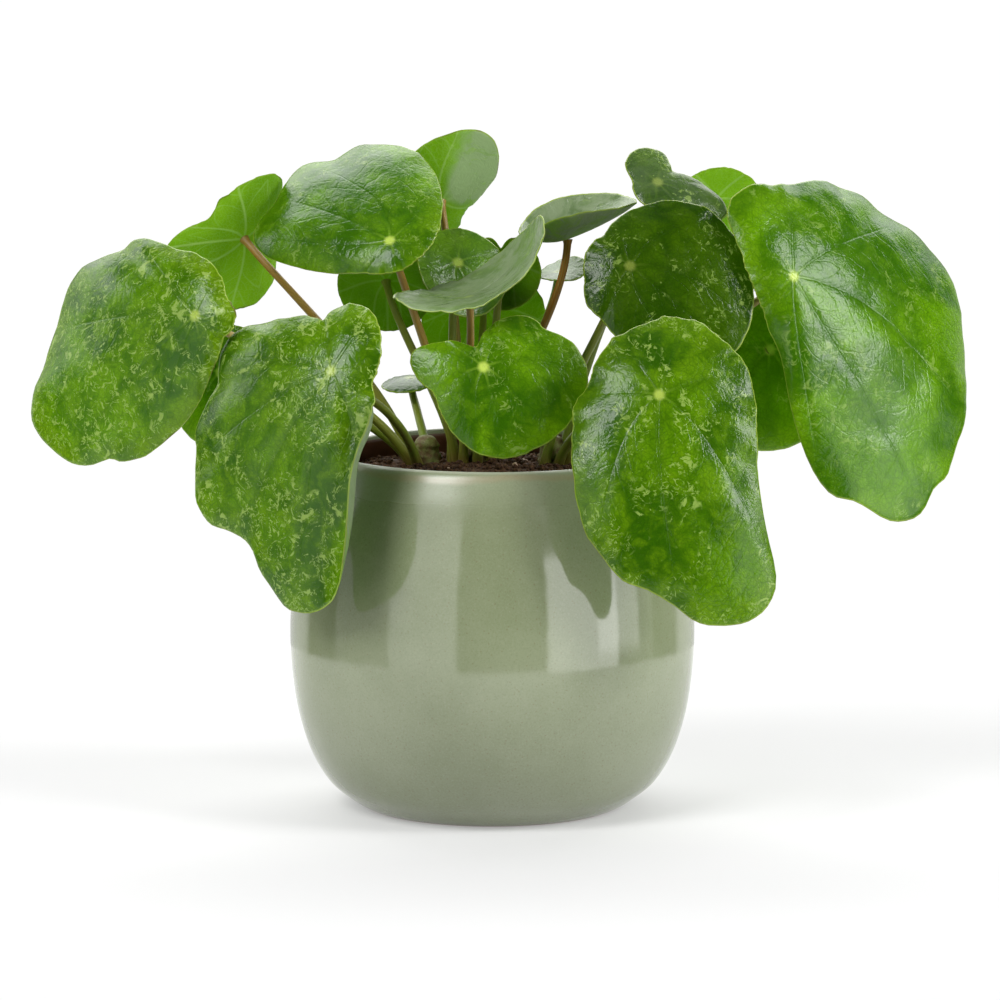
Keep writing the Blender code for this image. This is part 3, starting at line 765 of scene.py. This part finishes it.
def tube(line, radii, sides):
    """Points and faces of a closed tube along the line, and for each point its share of the way and its turn."""
    line = np.asarray(line)
    ways = np.gradient(line, axis=0)
    ways /= np.linalg.norm(ways, axis=1, keepdims=True)
    across = np.cross(ways[0], (0.3, 0.9, 0.2))
    points, shares, turns = [], [], []
    angles = math.tau * np.arange(sides) / sides
    for i, (at, way) in enumerate(zip(line, ways)):
        across = across - way * (across @ way)
        across /= np.linalg.norm(across)
        other = np.cross(way, across)
        radius = np.broadcast_to(radii[i], (sides,))
        points.extend(at + (np.cos(a) * across + np.sin(a) * other) * r for a, r in zip(angles, radius))
        shares.extend([i / (len(line) - 1)] * sides)
        turns.extend(angles)
    faces = []
    for i in range(len(line) - 1):
        a, b = i * sides, (i + 1) * sides
        faces.extend((a + k, a + (k + 1) % sides, b + (k + 1) % sides, b + k) for k in range(sides))
    last = (len(line) - 1) * sides
    faces.append(tuple(range(sides))[::-1])
    faces.append(tuple(range(last, last + sides)))
    return points, faces, shares, turns


def petiole(leaf, seed, material):
    """A tapered stalk from beside its crown to the blade."""
    normal = leaf_axes(leaf.face)[0]
    crown_name, angle = leaf.root
    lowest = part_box(f"{crown_name}_crown")[0].z
    middle = centre(f"{crown_name}_crown")
    ring = np.array([math.cos(math.radians(angle)), math.sin(math.radians(angle)), 0]) * ROOT_RING
    foot = np.array([middle[0], middle[1], lowest + PETIOLE_RADIUS - GAP]) + ring
    stalk = stalk_point(leaf)
    span = stalk - foot
    size = np.linalg.norm(span)
    leave = span / size * 0.7 + np.array([0, 0, 0.5])
    leave /= np.linalg.norm(leave)
    arrive = span / size * 0.6 + normal * 0.5
    arrive /= np.linalg.norm(arrive)
    head = stalk - normal * BLADE_THICKNESS / 2
    line = bezier(foot, foot + leave * size * 0.33, head - arrive * size * 0.3, head, PETIOLE_STEPS)
    line = np.vstack([foot - leave * 3 * MM, line])
    share = np.linspace(0, 1, len(line))
    radii = PETIOLE_RADIUS + (PETIOLE_TIP_RADIUS - PETIOLE_RADIUS) * share
    radii = radii + PETIOLE_FOOT_FLARE * np.exp(-share / 0.05) + PETIOLE_TIP_FLARE * np.exp((share - 1) / 0.015)
    turns = math.tau * np.arange(PETIOLE_SIDES) / PETIOLE_SIDES
    wobble = [[noise.noise(Vector((math.cos(a), math.sin(a), s * 6 + seed * 9))) for a in turns] for s in share]
    points, faces, shares, turns = tube(line, radii[:, None] * (1 + 0.09 * np.array(wobble)), PETIOLE_SIDES)
    made = new_piece(f"{leaf.name}_stalk", points, faces, [material], f"{leaf.name}_petiole")
    made.data.set_sharp_from_angle(angle=math.radians(60))
    values = np.stack([shares, turns, np.full(len(points), seed * 13.0)], -1)
    set_attribute(made.data, "stalk", "FLOAT_VECTOR", values)


def lathe(profile, segments):
    """Points and faces of a solid of revolution from (radius, height) points; the first and last are on the axis."""
    points = [(0, 0, profile[0][1])]
    for radius, height in profile[1:-1]:
        for k in range(segments):
            turn = math.tau * k / segments
            points.append((radius * math.cos(turn), radius * math.sin(turn), height))
    points.append((0, 0, profile[-1][1]))
    last = len(points) - 1
    faces = []
    for k in range(segments):
        after = (k + 1) % segments
        faces.append((0, 1 + after, 1 + k))
        for ring in range(len(profile) - 3):
            low, high = 1 + ring * segments, 1 + (ring + 1) * segments
            faces.append((low + k, low + after, high + after, high + k))
        faces.append((last, last - segments + k, last - segments + after))
    return points, faces


def pot():
    """The glazed pot, turned from its profile and scaled to the CAD pot."""
    low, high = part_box("pot")
    outside = along(POT_OUTSIDE + POT_LIP[:1], 8)[:-1]
    lip = along((POT_OUTSIDE[-1], *POT_LIP, POT_INSIDE[0]), 6)[6:-6]
    inside = along((POT_LIP[-1], *POT_INSIDE[:-2]), 4)[4:]
    curve = np.vstack([[(0, 0)], outside, lip, inside, POT_INSIDE[-2:]])
    scale_r = high.x / max(radius for _, radius in POT_OUTSIDE)
    scale_z = (high.z - low.z) / max(height for height, _ in POT_LIP)
    profile = [(radius * scale_r, low.z + height * scale_z) for height, radius in curve]
    points, faces = lathe(profile, POT_SEGMENTS)
    made = new_piece("glazed_pot", points, faces, [glaze_material()], "pot")
    wall = np.zeros(len(points))
    wall[1 + (len(outside) + len(lip) - 6) * POT_SEGMENTS :] = 1
    set_attribute(made.data, "wall", "FLOAT", wall)


def crumb_shapes(count):
    """Lumpy closed shapes about 1 across, as (points, faces)."""
    shapes = []
    for i in range(count):
        ball = bmesh.new()
        bmesh.ops.create_icosphere(ball, subdivisions=2, radius=0.5)
        for v in ball.verts:
            push = noise.noise(v.co * 2.2 + Vector((i * 7.1, 0, 0)))
            v.co *= 1 + 0.55 * push
            v.co.z *= 0.75
        shapes.append((np.array([v.co for v in ball.verts]), [[v.index for v in f.verts] for f in ball.faces]))
        ball.free()
    return shapes


def soil():
    """The potting mix: a low dome of lumps that meets the pot's wall, with crumbs, flakes and stones on it."""
    rng = np.random.default_rng(5)
    top_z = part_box("soil")[1].z
    edge_z = top_z - SOIL_DOME
    reach = np.interp(SOIL_HEIGHT, *zip(*sorted(POT_INSIDE + POT_LIP[-1:]))) * MM - 0.1 * MM
    rings, sectors = SOIL_RINGS, SOIL_SECTORS
    points = [(0, 0, 0)]
    for r in range(1, rings + 1):
        for k in range(sectors):
            turn = math.tau * k / sectors
            radius = reach * r / rings
            points.append((radius * math.cos(turn), radius * math.sin(turn), 0))
    points = np.array(points)
    radius = np.hypot(points[:, 0], points[:, 1])
    lumps = np.array([noise.fractal(Vector((x / SOIL_LUMP, y / SOIL_LUMP, 3)), 0.7, 2.0, 4) for x, y, _ in points])
    broad = np.array([noise.noise(Vector((x / SOIL_SWELL, y / SOIL_SWELL, 8))) for x, y, _ in points])
    points[:, 2] = top_z - (top_z - edge_z) * (radius / reach) ** 2 + 1.0 * MM * lumps + 0.8 * MM * broad - 0.4 * MM
    faces = [(0, 1 + k, 1 + (k + 1) % sectors) for k in range(sectors)]
    for r in range(rings - 1):
        a, b = 1 + r * sectors, 1 + (r + 1) * sectors
        faces.extend((a + k, b + k, b + (k + 1) % sectors, a + (k + 1) % sectors) for k in range(sectors))
    # A short skirt and a floor close the layer below.
    rim = 1 + (rings - 1) * sectors
    skirt = points[rim:] * (1, 1, 0) + (0, 0, edge_z - SOIL_DEPTH)
    base = len(points)
    points = np.vstack([points, skirt, [(0, 0, edge_z - SOIL_DEPTH)]])
    for k in range(sectors):
        after = (k + 1) % sectors
        faces.append((rim + k, base + k, base + after, rim + after))
        faces.append((base + k, base + sectors, base + after))
    slots = [0] * len(faces)

    shapes = crumb_shapes(6)
    parts, count = [points], len(points)
    for number, smallest, largest, material, squash in SOIL_BITS:
        for _ in range(number):
            shape, shape_faces = shapes[rng.integers(len(shapes))]
            size = smallest + (largest - smallest) * rng.random() ** 2.5
            turn = rng.random() * math.tau
            away = (reach - size * 0.6 * MM) * math.sqrt(rng.random())
            x, y = away * math.cos(turn), away * math.sin(turn)
            ring = int(round(away / reach * rings))
            index = 0 if ring == 0 else 1 + (ring - 1) * sectors + int(round(turn / math.tau * sectors)) % sectors
            spin = Matrix.Rotation(rng.random() * math.tau, 3, "Z") @ Matrix.Rotation(rng.random() * math.tau, 3, "X")
            stretch = np.array([1, 1 - 0.4 * rng.random(), squash])
            lump = (shape * stretch) @ np.array(spin).T * size * MM
            parts.append(lump + (x, y, points[index, 2] + size * MM * 0.15))
            faces.extend([tuple(i + count for i in face) for face in shape_faces])
            slots.extend([material] * len(shape_faces))
            count += len(shape)
    materials = [soil_material(), stone_material()]
    made = new_piece("potting_mix_layer", np.vstack(parts), faces, materials, "soil")
    made.data.polygons.foreach_set("material_index", np.array(slots, np.int32))


def crown(side, seed, material):
    """A knobbly stem: a lathed cone pushed out into old leaf scars."""
    name = f"{side}_crown"
    low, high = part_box(name)
    middle = centre(name)
    radius = (high.x - low.x) / 2
    height = high.z - low.z
    shape = along(CROWN_SHAPE, 4)
    profile = [(0, shape[0][1]), *shape, (0, 1)]
    profile = [(r / CROWN_SHAPE[0][0] * radius, low.z + z * height) for r, z in profile]
    points, faces = lathe(profile, CROWN_SEGMENTS)
    moved = []
    for p in points:
        v = Vector(p)
        scar = noise.cell(Vector((math.atan2(v.y, v.x) * 1.3, v.z / CROWN_SCAR, seed)))
        rough = noise.fractal(v / CROWN_KNOB + Vector((seed, 0, 0)), 0.8, 2.0, 3)
        push = 1 + 0.10 * scar + 0.10 * rough
        moved.append((middle[0] + v.x * push, middle[1] + v.y * push, v.z))
    new_piece(f"{side}_stump", moved, faces, [material], name)


# ---------------------------------------------------------------- studio


def band(t, value, start, end, soft):
    """1 between start and end, fading over soft at each side."""
    rise = t.ramp(value, start - soft, start + soft)
    return t.maths("MULTIPLY", rise, t.ramp(value, end - soft, end + soft, 1.0, 0.0))


def studio():
    """A white sweep seen by the camera, and soft panels at both sides for light and reflections."""
    world = bpy.data.worlds.new("studio")
    bpy.context.scene.world = world
    t = Tree(world)
    x, y, z = t.split(t.add("ShaderNodeTexCoord").outputs["Generated"])
    azimuth = t.maths("DEGREES", t.maths("ARCTAN2", x, t.maths("MULTIPLY", y, -1.0)))
    elevation = t.maths("DEGREES", t.maths("ARCSINE", z))
    light = t.ramp(elevation, 60, 90, 0.03, 0.10)
    for sides, heights, power in PANELS:
        part = t.maths("MULTIPLY", band(t, azimuth, *sides, 1.2), band(t, elevation, *heights, 3))
        light = t.maths("ADD", light, t.maths("MULTIPLY", part, power))
    # The back is lit all along, most at mid height, to shine through the leaves.
    back = t.ramp(t.maths("ABSOLUTE", azimuth), 126, 134)
    rise = t.maths("MULTIPLY", t.ramp(elevation, 10, 33, 0.75, 4.0), t.ramp(elevation, 50, 64, 1.0, 0.02))
    light = t.maths("ADD", light, t.maths("MULTIPLY", back, rise))
    camera_ray = t.add("ShaderNodeLightPath").outputs["Is Camera Ray"]
    strength = t.maths("ADD", light, t.maths("MULTIPLY", camera_ray, t.maths("SUBTRACT", BACKDROP, light)))
    background = t.add("ShaderNodeBackground", {"Color": (1.0, 1.0, 1.0), "Strength": strength}).outputs[0]
    t.finish(background, "ShaderNodeOutputWorld")

    # A grey floor with a glow of its own comes out white, with soft pale shadows.
    surface, t = new_material("sweep")
    glow = {"Emission_Color": (1.0, 1.0, 1.0), "Emission_Strength": 0.3}
    t.finish(t.principled(Base_Color=(0.5, 0.5, 0.5), Roughness=0.9, Specular_IOR_Level=0.0, **glow))
    sheet = bmesh.new()
    bmesh.ops.create_circle(sheet, cap_ends=True, segments=128, radius=FLOOR_RADIUS)
    mesh = bpy.data.meshes.new("floor")
    sheet.to_mesh(mesh)
    sheet.free()
    mesh.materials.append(surface)
    floor = bpy.data.objects.new("floor", mesh)
    bpy.context.scene.collection.objects.link(floor)
    floor.location.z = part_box("pot")[0].z - FLOOR_DROP


def camera():
    """A long lens at the photo's angle."""
    lens = bpy.data.cameras.new("camera")
    lens.lens = LENS
    lens.sensor_width = SENSOR_WIDTH
    lens.clip_end = 50
    made = bpy.data.objects.new("camera", lens)
    bpy.context.scene.collection.objects.link(made)
    made.location = VIEW_CENTRE + Vector(FRONT) * VIEW_DISTANCE
    made.rotation_euler = (math.pi / 2 - VIEW_TILT, 0, 0)
    bpy.context.scene.camera = made
    bpy.context.scene.view_settings.view_transform = "Standard"


def main():
    camera()
    studio()
    pot()
    soil()
    bark = bark_material()
    for seed, side in enumerate(("left", "middle", "right")):
        crown(side, seed, bark)
    faces = [blade_material("leaf_upper", False), blade_material("leaf_under", True)]
    stalks = {tint: petiole_material(f"petiole_{tint}", *ends) for tint, ends in PETIOLE_TINTS.items()}
    for seed, leaf in enumerate(LEAVES):
        blade(leaf, seed, faces)
        petiole(leaf, seed, stalks[leaf.stalk])


main()
